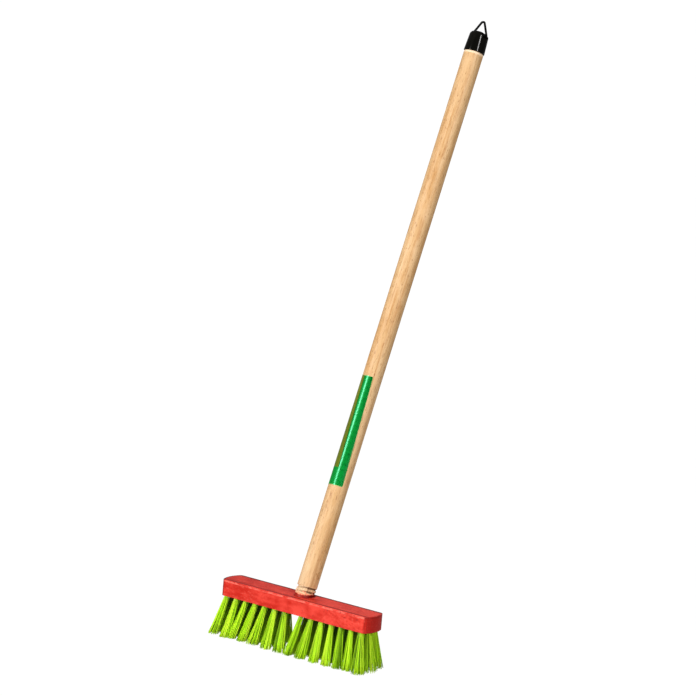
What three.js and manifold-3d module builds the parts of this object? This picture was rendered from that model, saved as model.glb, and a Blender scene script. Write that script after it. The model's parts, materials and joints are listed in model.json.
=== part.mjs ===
// Small floor broom: a painted wooden block with stapled bristle tufts, a wooden handle that screws into
// the block at a slant, and a plastic end cap with a swinging wire loop to hang it by.
// Millimetres, +Z up. X runs along the block, and the handle leans back towards +Y.
// The tips of the bristles stand on z = 0, and the origin is under the middle of the whole broom.
import * as THREE from "three";
import { mergeVertices } from "three/addons/utils/BufferGeometryUtils.js";
import Module from "manifold-3d";

// Gap between pieces that touch
const clearance = 0.3;

// Block
const blockLength = 200;
const blockDepth = 33;
const blockThickness = 18;
const endBow = 4.2;
const edgeRound = 1.6;
const cornerRound = 2.2;

// Tufts: columns on each side of the handle, in a front, a middle and a rear row
const bristleLength = 44;
const tuftsPerSide = 7;
const tuftEndMargin = 9.7;
const centreGap = 23.4;
const rowPitch = 11;
const tuftHoleRadius = 2.75;
const tuftHoleDepth = 10;
const socketWall = 0.6;

// Strands of one tuft, which spread from their root to the floor
const strandRadius = 0.6;
const strandsInRing = 8;
const rootSpread = 1.75;
const tipSpread = 6;
const frontLean = 8.5;
const rearLean = 12;
const frontEndLean = 11;
const middleEndLean = 7;
const rearEndLean = 1;

// Slice of the block that the strands are fused to
const sliceWidth = 7;
const sliceThickness = 3;
const sliceMargin = 3.4;

// Staple that holds a folded tuft in its hole
const stapleWire = 0.8;
const stapleCrown = 1.2;
const stapleLeg = 0.7;
const stapleBite = 3.5;
const foldLength = 2.6;
const foldWidth = 3.8;
const foldCover = 1.5;

// Handle
const handleLength = 650;
const handleRadius = 11;
const handleTilt = THREE.MathUtils.degToRad(21);
const socketBack = 3.8;
const socketDepth = 12.5;
const threadPitch = 4.2;
const threadRelief = 0.2;
const threadGroove = 1.1;
const threadShowing = 9;
const spigotRadius = 9;
const spigotLength = 15.7;
const shoulderChamfer = 0.6;

// Label on the handle
const labelLength = 124;
const labelHeight = 122;
const labelAngle = THREE.MathUtils.degToRad(130);
const labelTurn = THREE.MathUtils.degToRad(-105.5);
const labelSkew = THREE.MathUtils.degToRad(19);
const labelThickness = 0.25;

// End cap
const capLength = 23.2;
const capMouthRadius = 11.75;
const capShoulderRadius = 10.75;
const capShoulderRound = 4.6;
const notchHalfWidth = 6.6;

// Hanging loop, a bent wire whose two ends meet inside the cap
const wireRadius = 1.3;
const pivotBelowTop = 4.5;
const loopHalfWidth = 10.4;
const loopPeak = 19.9;
const loopApexRadius = 2.4;
const loopCornerRadius = 1.8;
const loopSwing = THREE.MathUtils.degToRad(45);
const wireEndGap = 1;

// Facets
const roundSides = 32;
const holeSides = 8;
const threadSteps = 14;
const wireSides = 8;

// Heights and places worked out from the sizes above
const underside = bristleLength;
const blockTop = underside + blockThickness;
const outermost = blockLength / 2 - tuftEndMargin;
const tuftPitch = (outermost - centreGap / 2) / (tuftsPerSide - 1);
const threadRadius = handleRadius - threadRelief;
const socketRadius = threadRadius + clearance;
const shaftTop = handleLength - socketDepth + clearance - spigotLength;
const capMouth = shaftTop + clearance;
const capTop = capMouth + capLength;
const pivotHeight = capTop - pivotBelowTop;
const capBoreTop = shaftTop + spigotLength + clearance;

const wasm = await Module();
wasm.setup();

// A closed geometry as a solid that can be joined and cut
function toSolid(geometry) {
  const bare = geometry.clone();
  bare.deleteAttribute("normal");
  bare.deleteAttribute("uv");
  const merged = mergeVertices(bare, 1e-4);
  return new wasm.Manifold(
    new wasm.Mesh({
      numProp: 3,
      vertProperties: new Float32Array(merged.attributes.position.array),
      triVerts: new Uint32Array(merged.index.array),
    }),
  );
}

function toGeometry(solid) {
  const { vertProperties, triVerts } = solid.getMesh();
  const geometry = new THREE.BufferGeometry();
  geometry.setAttribute("position", new THREE.BufferAttribute(vertProperties, 3));
  geometry.setIndex(new THREE.BufferAttribute(triVerts, 1));
  geometry.computeVertexNormals();
  return geometry;
}

function join(geometries) {
  return wasm.Manifold.union(geometries.map(toSolid));
}

// A box from its lowest to its highest corner
function boxBetween(low, high) {
  const size = new THREE.Vector3().subVectors(high, low);
  const centre = new THREE.Vector3().addVectors(low, high).multiplyScalar(0.5);
  return new THREE.BoxGeometry(size.x, size.y, size.z).translate(centre.x, centre.y, centre.z);
}

// An upright cylinder between two heights
function cylinderBetween(radius, low, high, sides) {
  return new THREE.CylinderGeometry(radius, radius, high - low, sides)
    .rotateX(Math.PI / 2)
    .translate(0, 0, (low + high) / 2);
}

// A profile of [radius, height] points turned about Z
function turned(profile, sides) {
  const points = profile.map(([radius, height]) => new THREE.Vector2(radius, height));
  return new THREE.LatheGeometry(points, sides).rotateX(Math.PI / 2);
}

function finish(name, geometry, colour, roughness, metalness = 0) {
  const material = new THREE.MeshStandardMaterial({ color: colour, roughness, metalness });
  const mesh = new THREE.Mesh(geometry, material);
  mesh.name = name;
  return mesh;
}

const paint = [0xd8322b, 0.45];
const wood = [0xe3b57c, 0.55];
const bristleGreen = [0x9fdc12, 0.5];
const steel = [0xb8bcc0, 0.35, 0.9];
const blackPlastic = [0x141414, 0.35];
const blackWire = [0x0c0c0c, 0.4, 0.3];
const labelGreen = [0x0d9a3f, 0.25];

// The handle's frame: its axis is Z, and its zero is where the axis meets the top of the block
const handleFrame = new THREE.Matrix4()
  .makeTranslation(0, socketBack, blockTop)
  .multiply(new THREE.Matrix4().makeRotationX(-handleTilt));

// Places of the tufts. The middle row leaves wood round the socket, and the rear row has no tuft beside it.
function tuftColumns(first, innermost) {
  const columns = [];
  for (let i = first; i < tuftsPerSide; i++) {
    columns.push(Math.max(centreGap / 2 + i * tuftPitch, innermost));
  }
  return columns;
}

const besideSocket = socketRadius + tuftHoleRadius + socketWall;
const frontColumns = tuftColumns(0, 0);
const middleColumns = tuftColumns(0, besideSocket);
const rearColumns = tuftColumns(1, 0);
const mirrored = (columns) => [...columns.map((x) => -x).reverse(), ...columns];

const rows = [
  {
    name: "front",
    y: -rowPitch,
    lean: -frontLean,
    endLean: frontEndLean,
    beds: { "": mirrored(frontColumns) },
  },
  { name: "middle", y: 0, lean: 0, endLean: middleEndLean, beds: { "": mirrored(middleColumns) } },
  {
    name: "rear",
    y: rowPitch,
    lean: rearLean,
    endLean: rearEndLean,
    beds: { _left: rearColumns.map((x) => -x).reverse(), _right: rearColumns },
  },
];

// Heights inside a tuft hole, measured from the underside
const foldTop = tuftHoleDepth - clearance;
const crownTop = foldTop - foldCover - clearance;
const crownBottom = crownTop - stapleCrown;
const legInside = foldLength / 2 + clearance;
const legOutside = legInside + stapleLeg;
const legTop = tuftHoleDepth + stapleBite;

function bedBox(columns, y, grow) {
  const reach = sliceMargin + grow;
  const halfWidth = sliceWidth / 2 + grow;
  return boxBetween(
    new THREE.Vector3(columns[0] - reach, y - halfWidth, underside - grow),
    new THREE.Vector3(columns.at(-1) + reach, y + halfWidth, underside + sliceThickness + grow),
  );
}

function blockOutline() {
  const halfDepth = blockDepth / 2;
  const endRadius = (halfDepth ** 2 + endBow ** 2) / (2 * endBow);
  const endCentre = blockLength / 2 - endRadius;
  const sweep = Math.asin(halfDepth / endRadius) - cornerRound / endRadius;
  const arcX = endCentre + endRadius * Math.cos(sweep);
  const arcY = endRadius * Math.sin(sweep);
  const corner = blockLength / 2 - endBow;
  const flat = corner - cornerRound;
  const outline = new THREE.Shape();
  outline.moveTo(-flat, -halfDepth);
  outline.lineTo(flat, -halfDepth);
  outline.quadraticCurveTo(corner, -halfDepth, arcX, -arcY);
  outline.absarc(endCentre, 0, endRadius, -sweep, sweep, false);
  outline.quadraticCurveTo(corner, halfDepth, flat, halfDepth);
  outline.lineTo(-flat, halfDepth);
  outline.quadraticCurveTo(-corner, halfDepth, -arcX, arcY);
  outline.absarc(-endCentre, 0, endRadius, Math.PI - sweep, Math.PI + sweep, false);
  outline.quadraticCurveTo(-corner, -halfDepth, -flat, -halfDepth);
  return outline;
}

class Helix extends THREE.Curve {
  constructor(radius, pitch, low, high) {
    super();
    Object.assign(this, { radius, pitch, low, high });
  }

  getPoint(t, target = new THREE.Vector3()) {
    const height = this.low + (this.high - this.low) * t;
    const angle = (2 * Math.PI * height) / this.pitch;
    return target.set(this.radius * Math.cos(angle), this.radius * Math.sin(angle), height);
  }
}

// A round helical bead on the thread's surface: the handle's groove, or when thinner the socket's ridge
function threadBead(beadRadius, low, high) {
  const section = new THREE.Shape();
  section.absarc(0, 0, beadRadius, 0, 2 * Math.PI, false);
  const turns = (high - low) / threadPitch;
  return new THREE.ExtrudeGeometry(section, {
    extrudePath: new Helix(threadRadius / Math.cos(Math.PI / threadSteps), threadPitch, low, high),
    steps: Math.round(turns * threadSteps),
    curveSegments: 3,
  });
}

// Block with its slanted threaded socket, tuft holes, grooves for the slices and a slit for each staple
function makeBlock() {
  const body = new THREE.ExtrudeGeometry(blockOutline(), {
    depth: blockThickness - 2 * edgeRound,
    bevelThickness: edgeRound,
    bevelSize: edgeRound,
    bevelOffset: -edgeRound,
    bevelSegments: 2,
    curveSegments: 6,
  }).translate(0, 0, underside + edgeRound);

  const mouth = blockThickness;
  const socket = toSolid(cylinderBetween(socketRadius, -socketDepth, mouth, roundSides))
    .subtract(toSolid(threadBead(threadGroove - clearance, -socketDepth - threadPitch, mouth)))
    .transform(handleFrame.elements);

  const cuts = [];
  for (const row of rows) {
    for (const columns of Object.values(row.beds)) {
      cuts.push(bedBox(columns, row.y, clearance));
      for (const x of columns) {
        const hole = cylinderBetween(tuftHoleRadius, underside, underside + tuftHoleDepth, holeSides);
        cuts.push(hole.rotateZ(Math.PI / holeSides).translate(x, row.y, 0));
        const slit = new THREE.Vector2(legOutside + clearance, stapleWire / 2 + clearance);
        cuts.push(
          boxBetween(
            new THREE.Vector3(x - slit.x, row.y - slit.y, underside + crownTop),
            new THREE.Vector3(x + slit.x, row.y + slit.y, underside + legTop + clearance),
          ),
        );
      }
    }
  }
  return toGeometry(toSolid(body).subtract(socket).subtract(join(cuts)));
}

// The folded root of a tuft: an upright slab with a window for the staple's crown
function tuftFold() {
  const half = foldWidth / 2;
  const slab = new THREE.Shape();
  slab.moveTo(-half, sliceThickness / 2);
  slab.lineTo(half, sliceThickness / 2);
  slab.lineTo(half, foldTop - foldCover);
  slab.lineTo(half - foldCover, foldTop);
  slab.lineTo(foldCover - half, foldTop);
  slab.lineTo(-half, foldTop - foldCover);
  const window = new THREE.Path();
  const halfWindow = stapleWire / 2 + clearance;
  window.moveTo(-halfWindow, crownBottom - clearance);
  window.lineTo(-halfWindow, crownTop + clearance);
  window.lineTo(halfWindow, crownTop + clearance);
  window.lineTo(halfWindow, crownBottom - clearance);
  slab.holes.push(window);
  return new THREE.ExtrudeGeometry(slab, { depth: foldLength, bevelEnabled: false })
    .translate(0, 0, -foldLength / 2)
    .applyMatrix4(new THREE.Matrix4().makeBasis(
      new THREE.Vector3(0, 1, 0),
      new THREE.Vector3(0, 0, 1),
      new THREE.Vector3(1, 0, 0),
    ))
    .translate(0, 0, underside);
}

// One strand: a three-sided rod from inside the slice to the floor, with level ends
function strand(root, tip) {
  const top = underside + sliceThickness / 2;
  const rod = cylinderBetween(strandRadius, 0, top, 3);
  const place = rod.getAttribute("position");
  for (let i = 0; i < place.count; i++) {
    const along = Math.min(place.getZ(i) / underside, 1);
    place.setX(i, place.getX(i) + THREE.MathUtils.lerp(tip.x, root.x, along));
    place.setY(i, place.getY(i) + THREE.MathUtils.lerp(tip.y, root.y, along));
  }
  return rod;
}

function tuftStrands(x, row) {
  const root = new THREE.Vector2(x, row.y);
  const tip = new THREE.Vector2(x * (1 + row.endLean / outermost), row.y + row.lean);
  const strands = [strand(root, tip)];
  for (let i = 0; i < strandsInRing; i++) {
    const angle = (2 * Math.PI * (i + 0.5)) / strandsInRing;
    const ray = new THREE.Vector2(Math.cos(angle), Math.sin(angle));
    strands.push(
      strand(
        root.clone().addScaledVector(ray, rootSpread),
        tip.clone().addScaledVector(ray, tipSpread),
      ),
    );
  }
  return strands;
}

// The tufts of one row, or of half a row, fused to their slice of the block
function makeBristles(columns, row) {
  const pieces = [bedBox(columns, row.y, 0)];
  for (const x of columns) {
    pieces.push(tuftFold().translate(x, row.y, 0), ...tuftStrands(x, row));
  }
  return toGeometry(join(pieces));
}

// A staple: its crown passes through the fold of the tuft, and its legs bite into the wood above the hole
function makeStaple(x, y) {
  const outline = new THREE.Shape();
  outline.moveTo(-legOutside, crownBottom);
  outline.lineTo(legOutside, crownBottom);
  outline.lineTo(legOutside, legTop);
  outline.lineTo(legInside, legTop);
  outline.lineTo(legInside, crownTop);
  outline.lineTo(-legInside, crownTop);
  outline.lineTo(-legInside, legTop);
  outline.lineTo(-legOutside, legTop);
  return new THREE.ExtrudeGeometry(outline, { depth: stapleWire, bevelEnabled: false })
    .translate(0, 0, -stapleWire / 2)
    .rotateX(Math.PI / 2)
    .translate(x, y, underside);
}

// Handle: a turned stick with a thread at its foot and a spigot for the cap, along the handle's own axis
function makeHandle() {
  const foot = clearance - socketDepth;
  const stick = turned(
    [
      [0, foot],
      [threadRadius, foot],
      [threadRadius, threadShowing],
      [handleRadius, threadShowing + threadRelief],
      [handleRadius, shaftTop - shoulderChamfer],
      [handleRadius - shoulderChamfer, shaftTop],
      [spigotRadius, shaftTop],
      [spigotRadius, shaftTop + spigotLength],
      [0, shaftTop + spigotLength],
    ],
    roundSides,
  );
  const groove = threadBead(threadGroove, foot - threadPitch, threadShowing);
  return toGeometry(toSolid(stick).subtract(toSolid(groove)));
}

// Label: a thin curved film on the handle, stuck on a little askew
function makeLabel() {
  const inside = handleRadius + clearance;
  const outside = inside + labelThickness;
  const film = new THREE.Shape();
  film.absarc(0, 0, outside, -labelAngle / 2, labelAngle / 2, false);
  film.absarc(0, 0, inside, labelAngle / 2, -labelAngle / 2, true);
  const geometry = new THREE.ExtrudeGeometry(film, {
    depth: labelLength,
    steps: 6,
    curveSegments: 8,
    bevelEnabled: false,
  });
  const place = geometry.getAttribute("position");
  const point = new THREE.Vector3();
  for (let i = 0; i < place.count; i++) {
    point.fromBufferAttribute(place, i);
    const turn = labelTurn + labelSkew * (0.5 - point.z / labelLength);
    point.applyAxisAngle(new THREE.Vector3(0, 0, 1), turn);
    place.setXYZ(i, point.x, point.y, point.z + labelHeight);
  }
  return geometry;
}

// The bridge between the notches is narrow enough for the legs of the loop at the end of its swing
const legSlope = loopHalfWidth / loopPeak;
const legTurn = Math.atan(legSlope);
const legInCap = (pivotBelowTop + clearance) / Math.cos(loopSwing);
const bridgeHalfWidth =
  loopHalfWidth - legSlope * legInCap - wireRadius / Math.cos(legTurn) - clearance;

// Cap: a tapered sleeve with a round shoulder, notched on both sides for the loop and bored for its wire
function makeCap() {
  const boreRadius = spigotRadius + clearance;
  const shoulderBase = capTop - capShoulderRound;
  const profile = [
    [0, capBoreTop],
    [boreRadius, capBoreTop],
    [boreRadius, capMouth],
    [capMouthRadius, capMouth],
  ];
  const roundSteps = 5;
  for (let i = 0; i <= roundSteps; i++) {
    const angle = ((Math.PI / 2) * i) / roundSteps;
    profile.push([
      capShoulderRadius - capShoulderRound * (1 - Math.cos(angle)),
      shoulderBase + capShoulderRound * Math.sin(angle),
    ]);
  }
  profile.push([0, capTop]);

  const bore = cylinderBetween(wireRadius + clearance, -capMouthRadius, capMouthRadius, holeSides * 2)
    .rotateY(Math.PI / 2)
    .translate(0, 0, pivotHeight);
  const floor = pivotHeight - wireRadius - clearance;
  const notches = [-1, 1].map((side) => {
    const middle = (side * (bridgeHalfWidth + capMouthRadius + 1)) / 2;
    const halfLength = (capMouthRadius + 1 - bridgeHalfWidth) / 2;
    return boxBetween(
      new THREE.Vector3(middle - halfLength, -notchHalfWidth, floor),
      new THREE.Vector3(middle + halfLength, notchHalfWidth, capTop + 1),
    );
  });
  return toGeometry(toSolid(turned(profile, roundSides)).subtract(join([bore, ...notches])));
}

// The loop's path: corners of a triangle with each corner rounded, open at the middle of its base
function loopPath() {
  const corners = [
    [wireEndGap / 2, 0, 0],
    [loopHalfWidth, 0, loopCornerRadius],
    [0, loopPeak, loopApexRadius],
    [-loopHalfWidth, 0, loopCornerRadius],
    [-wireEndGap / 2, 0, 0],
  ].map(([x, z, radius]) => ({ at: new THREE.Vector3(x, 0, z), radius }));
  const path = new THREE.CurvePath();
  let from = corners[0].at;
  for (let i = 1; i < corners.length - 1; i++) {
    const { at, radius } = corners[i];
    const back = corners[i - 1].at.clone().sub(at).normalize();
    const ahead = corners[i + 1].at.clone().sub(at).normalize();
    const setback = radius / Math.tan(back.angleTo(ahead) / 2);
    const start = at.clone().addScaledVector(back, setback);
    const end = at.clone().addScaledVector(ahead, setback);
    const pull = (4 / 3) * Math.tan((Math.PI - back.angleTo(ahead)) / 4) * radius;
    path.add(new THREE.LineCurve3(from, start));
    path.add(
      new THREE.CubicBezierCurve3(
        start,
        start.clone().addScaledVector(back, -pull),
        end.clone().addScaledVector(ahead, -pull),
        end,
      ),
    );
    from = end;
  }
  path.add(new THREE.LineCurve3(from, corners.at(-1).at));
  return path;
}

function makeLoop() {
  const section = new THREE.Shape();
  section.absarc(0, 0, wireRadius, 0, 2 * Math.PI, false);
  return new THREE.ExtrudeGeometry(section, {
    extrudePath: loopPath(),
    steps: 48,
    curveSegments: wireSides / 2,
  });
}

// Assembly
const head = new THREE.Group();
head.add(finish("broom_block", makeBlock(), ...paint));
for (const row of rows) {
  let count = 0;
  for (const [side, columns] of Object.entries(row.beds)) {
    head.add(finish(`bristles_${row.name}${side}`, makeBristles(columns, row), ...bristleGreen));
    for (const x of columns) {
      count += 1;
      const name = `staple_${row.name}_${String(count).padStart(2, "0")}`;
      head.add(finish(name, makeStaple(x, row.y), ...steel));
    }
  }
}

const stick = new THREE.Group();
stick.position.setFromMatrixPosition(handleFrame);
stick.rotation.x = -handleTilt;
stick.add(finish("handle", makeHandle(), ...wood));
stick.add(finish("label", makeLabel(), ...labelGreen));
stick.add(finish("end_cap", makeCap(), ...blackPlastic));

const hanger = new THREE.Group();
hanger.position.z = pivotHeight;
hanger.add(finish("hanging_loop", makeLoop(), ...blackWire));
stick.add(hanger);

// The origin is on the floor under the middle of the broom's length and breadth
const standing = new THREE.Group();
standing.add(head, stick);
const middle = new THREE.Box3().setFromObject(standing, true).getCenter(new THREE.Vector3());
standing.position.set(-middle.x, -middle.y, 0);

const broom = new THREE.Group();
broom.add(standing);

export default broom;
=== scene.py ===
import bmesh
import bpy
import json
import math
import random
from mathutils import Matrix, Vector, noise


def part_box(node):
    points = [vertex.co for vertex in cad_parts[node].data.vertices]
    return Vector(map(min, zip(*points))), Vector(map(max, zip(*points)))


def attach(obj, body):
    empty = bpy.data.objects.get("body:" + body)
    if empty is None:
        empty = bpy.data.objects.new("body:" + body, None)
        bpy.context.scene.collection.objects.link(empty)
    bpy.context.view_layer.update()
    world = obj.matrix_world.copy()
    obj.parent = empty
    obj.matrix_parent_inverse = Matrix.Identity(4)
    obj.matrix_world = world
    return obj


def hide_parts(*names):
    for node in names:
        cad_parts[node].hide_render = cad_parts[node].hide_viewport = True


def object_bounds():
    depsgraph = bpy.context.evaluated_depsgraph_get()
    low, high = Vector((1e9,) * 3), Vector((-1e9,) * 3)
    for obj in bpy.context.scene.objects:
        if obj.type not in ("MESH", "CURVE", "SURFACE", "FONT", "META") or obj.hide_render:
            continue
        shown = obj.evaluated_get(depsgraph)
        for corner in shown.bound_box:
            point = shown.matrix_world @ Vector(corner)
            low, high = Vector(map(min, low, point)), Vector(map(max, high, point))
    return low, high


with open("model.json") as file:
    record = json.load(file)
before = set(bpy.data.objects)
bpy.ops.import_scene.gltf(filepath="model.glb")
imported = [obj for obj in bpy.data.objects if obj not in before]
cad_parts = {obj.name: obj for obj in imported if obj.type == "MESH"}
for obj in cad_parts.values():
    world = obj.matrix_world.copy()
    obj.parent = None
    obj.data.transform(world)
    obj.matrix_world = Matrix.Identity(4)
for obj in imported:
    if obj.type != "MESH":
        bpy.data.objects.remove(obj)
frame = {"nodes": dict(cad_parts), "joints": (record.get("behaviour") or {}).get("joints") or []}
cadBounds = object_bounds()
scene = bpy.context.scene
blockLow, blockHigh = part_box("broom_block")
headY = (blockLow.y + blockHigh.y) / 2
underside = blockLow.z
blockTop = blockHigh.z

# the handle's own frame: Z along the stick, zero where its axis meets the top of the block
stick = {"tilt": math.radians(21), "back": 0.0038}
stickFoot = Matrix.Translation((0, headY + stick["back"], blockTop))
stickFrame = stickFoot @ Matrix.Rotation(-stick["tilt"], 4, "X")
pivot = stickFrame.inverted() @ Vector(frame["joints"][0]["pos_m"])
print("frame loaded:", len(frame["nodes"]), "nodes, loop pivot at", round(pivot.z, 4))


# camera at the photograph's place, rolled a little so that the broom leans to the right
view = {
    "fromHead": (2.18136, -2.990902, 0.98083),
    "right": (0.79929, 0.594169, 0.089994),
    "up": (-0.174059, 0.085563, 0.981011),
    "back": (0.575186, -0.799776, 0.17181),
    "lens": 183.482,
    "sensor": 36,
    "farthest": 50,
}
cameraData = bpy.data.cameras.new("photoCamera")
cameraData.sensor_width = view["sensor"]
cameraData.lens = view["lens"]
cameraData.clip_end = view["farthest"]
camera = bpy.data.objects.new("photoCamera", cameraData)
cameraTurn = Matrix((view["right"], view["up"], view["back"])).transposed().to_4x4()
cameraPlace = Vector(view["fromHead"]) + Vector((0, headY, 0))
camera.matrix_world = Matrix.Translation(cameraPlace) @ cameraTurn
scene.collection.objects.link(camera)
scene.camera = camera
print("camera set")


# small helpers for meshes, and the lengths below which things count as one place, as level and as a sliver
limits = {"merge": 1e-7, "level": 1e-6, "sliver": 2e-6}


def clamp(value, low=0.0, high=1.0):
    return min(high, max(low, value))


def vertsOf(geometry):
    return [item for item in geometry if isinstance(item, bmesh.types.BMVert)]


def edgeVector(edge):
    return edge.verts[1].co - edge.verts[0].co


def shadeSmooth(mesh, sharpAngle):
    for face in mesh.polygons:
        face.use_smooth = True
    mesh.set_sharp_from_angle(angle=math.radians(sharpAngle))


def meshFrom(bm, name, sharpAngle=40):
    bmesh.ops.remove_doubles(bm, verts=bm.verts[:], dist=limits["merge"])
    bmesh.ops.recalc_face_normals(bm, faces=bm.faces[:])
    mesh = bpy.data.meshes.new(name)
    bm.to_mesh(mesh)
    bm.free()
    shadeSmooth(mesh, sharpAngle)
    return mesh


def placePiece(name, mesh, material, body, replaced):
    piece = bpy.data.objects.new(name, mesh)
    scene.collection.objects.link(piece)
    mesh.materials.clear()
    mesh.materials.append(material)
    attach(piece, body)
    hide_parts(*replaced)
    return piece


# the mesh of an object with its modifier, or of a curve
def evaluatedMesh(thing):
    bpy.context.view_layer.update()
    return bpy.data.meshes.new_from_object(thing.evaluated_get(bpy.context.evaluated_depsgraph_get()))


# cuts one mesh out of another, and gives back a new mesh
def cutAway(mesh, cutter):
    whole = bpy.data.objects.new("whole", mesh)
    tool = bpy.data.objects.new("tool", cutter)
    scene.collection.objects.link(whole)
    scene.collection.objects.link(tool)
    cut = whole.modifiers.new("cut", "BOOLEAN")
    cut.operation = "DIFFERENCE"
    cut.solver = "EXACT"
    cut.object = tool
    result = evaluatedMesh(whole)
    bpy.data.objects.remove(whole)
    bpy.data.objects.remove(tool)
    bm = bmesh.new()
    bm.from_mesh(result)
    bmesh.ops.dissolve_degenerate(bm, dist=limits["sliver"], edges=bm.edges[:])
    bm.to_mesh(result)
    bm.free()
    return result


def addRod(bm, radius, length, sides, matrix):
    bmesh.ops.create_cone(bm, cap_ends=True, segments=sides, radius1=radius, radius2=radius, depth=length,
                          matrix=matrix)


def roundOff(bm, geometry, offset, steps, affect="EDGES", clampOverlap=False):
    bmesh.ops.bevel(bm, geom=geometry, offset=offset, offset_type="OFFSET", segments=steps, profile=0.5,
                    affect=affect, material=-1, clamp_overlap=clampOverlap)


# turns a profile of (radius, height) points about Z
def spinProfile(bm, profile, steps):
    corners = [bm.verts.new((radius, 0, height)) for radius, height in profile]
    lines = [bm.edges.new(pair) for pair in zip(corners, corners[1:])]
    bmesh.ops.spin(bm, geom=corners + lines, cent=(0, 0, 0), axis=(0, 0, 1), dvec=(0, 0, 0),
                   angle=math.tau, steps=steps, use_merge=True)
    bmesh.ops.remove_doubles(bm, verts=bm.verts[:], dist=limits["merge"])
    bmesh.ops.recalc_face_normals(bm, faces=bm.faces[:])


# quarter round from a direction on, as (radius, height) points
def quarterRound(centreRadius, centreHeight, roundness, startDegrees, steps):
    points = []
    for i in range(steps + 1):
        angle = math.radians(startDegrees + 90 * i / steps)
        radius = centreRadius + roundness * math.cos(angle)
        points.append((radius, centreHeight + roundness * math.sin(angle)))
    return points


# small helpers for materials
def newMaterial(name):
    material = bpy.data.materials.new(name)
    material.use_nodes = True
    tree = material.node_tree
    return material, tree, tree.nodes["Principled BSDF"]


# a socket knows its node tree, so only functions that begin a chain of nodes are given one
def feed(socket, value):
    if isinstance(value, bpy.types.NodeSocket):
        socket.id_data.links.new(value, socket)
    else:
        socket.default_value = value


def addNode(tree, kind, settings=None, **inputs):
    made = tree.nodes.new(kind)
    for key, value in (settings or {}).items():
        setattr(made, key, value)
    for key, value in inputs.items():
        feed(made.inputs[key.replace("_", " ")], value)
    return made


def mathNode(operation, first, second=0.0):
    tree = (first if isinstance(first, bpy.types.NodeSocket) else second).id_data
    made = addNode(tree, "ShaderNodeMath", {"operation": operation})
    feed(made.inputs[0], first)
    feed(made.inputs[1], second)
    return made.outputs[0]


def plus(first, second):
    return mathNode("ADD", first, second)


def minus(first, second):
    return mathNode("SUBTRACT", first, second)


def times(first, second):
    return mathNode("MULTIPLY", first, second)


def larger(first, second):
    return mathNode("MAXIMUM", first, second)


def smaller(first, second):
    return mathNode("MINIMUM", first, second)


def under(value, limit):
    return mathNode("LESS_THAN", value, limit)


def mixColour(factor, first, second):
    made = addNode(factor.id_data, "ShaderNodeMix", {"data_type": "RGBA"})
    for index, value in ((0, factor), (6, first), (7, second)):  # the sockets for colours
        feed(made.inputs[index], value)
    return made.outputs[2]


def ramp(value, stops):
    made = addNode(value.id_data, "ShaderNodeValToRGB", Fac=value)
    while len(made.color_ramp.elements) < len(stops):
        made.color_ramp.elements.new(0.5)
    for element, (position, colour) in zip(made.color_ramp.elements, stops):
        element.position = position
        element.color = colour
    return made.outputs[0]


# an even change from a first to a last amount between two values
def fade(value, start, end, first=0.0, last=1.0):
    return addNode(value.id_data, "ShaderNodeMapRange", Value=value, From_Min=start, From_Max=end,
                   To_Min=first, To_Max=last).outputs[0]


# a value that rises softly from 0 to 1 between two places, and one that is 1 only between two places
def rise(value, start, end):
    return addNode(value.id_data, "ShaderNodeMapRange", {"interpolation_type": "SMOOTHSTEP"}, Value=value,
                   From_Min=start, From_Max=end).outputs[0]


def between(value, low, high, soft):
    up = rise(value, low - soft, low + soft)
    down = rise(value, high - soft, high + soft)
    return times(up, minus(1.0, down))


# Object coordinates, turned into the stick's own frame where asked, then scaled
def pattern(tree, scale, alongStick=False):
    vector = tree.nodes.new("ShaderNodeTexCoord").outputs["Object"]
    if alongStick:
        inStick = addNode(tree, "ShaderNodeMapping", {"vector_type": "TEXTURE"}, Vector=vector,
                          Location=stickFrame.translation, Rotation=stickFrame.to_euler())
        vector = inStick.outputs[0]
    return addNode(tree, "ShaderNodeMapping", Vector=vector, Scale=scale).outputs[0]


# noise with so many swells per metre along each axis
def noiseOn(tree, perMetre, detail=4.0, roughness=0.55, alongStick=False):
    return addNode(tree, "ShaderNodeTexNoise", Vector=pattern(tree, perMetre, alongStick), Scale=1.0,
                   Detail=detail, Roughness=roughness).outputs[0]


def attribute(tree, name):
    return addNode(tree, "ShaderNodeAttribute", {"attribute_name": name}).outputs["Fac"]


# sets colour, relief, shine and a roughness that follows a pattern, from a material's dictionary
def finishSurface(shader, look, colour, follow, height):
    low, spread = look["rough"]
    strength, distance = look["bump"]
    bump = addNode(shader.id_data, "ShaderNodeBump", Height=height, Strength=strength, Distance=distance)
    feed(shader.inputs["Base Color"], colour)
    feed(shader.inputs["Roughness"], plus(times(follow, spread), low))
    feed(shader.inputs["Normal"], bump.outputs[0])
    feed(shader.inputs["Specular IOR Level"], look["shine"])


# block sizes, used by its shape and by its paint
blockShape = {
    "bow": 0.0042, "corner": 0.0024, "cornerSteps": 5, "edge": 0.0017, "edgeSteps": 4,
    "cuts": ((1, 13), (0, 63), (2, 5)),  # axis and count
    "along": 0.9,  # from this share of its length on, an edge runs along an axis
    "cornerAngle": 0.9, "rimAngle": 1.2,  # radians, least turn between two faces
    "uneven": 0.00013, "swells": 55, "swellFractal": (1.0, 2.0, 3),
    "fineSwells": (210, 0.6),  # per metre, and their share
    "socketRadius": 0.0111, "socketDepth": 0.0125, "socketPast": 0.02, "socketSides": 72,
    "edgeBandWidth": 0.0021, "sharpAngle": 50,
}
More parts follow.
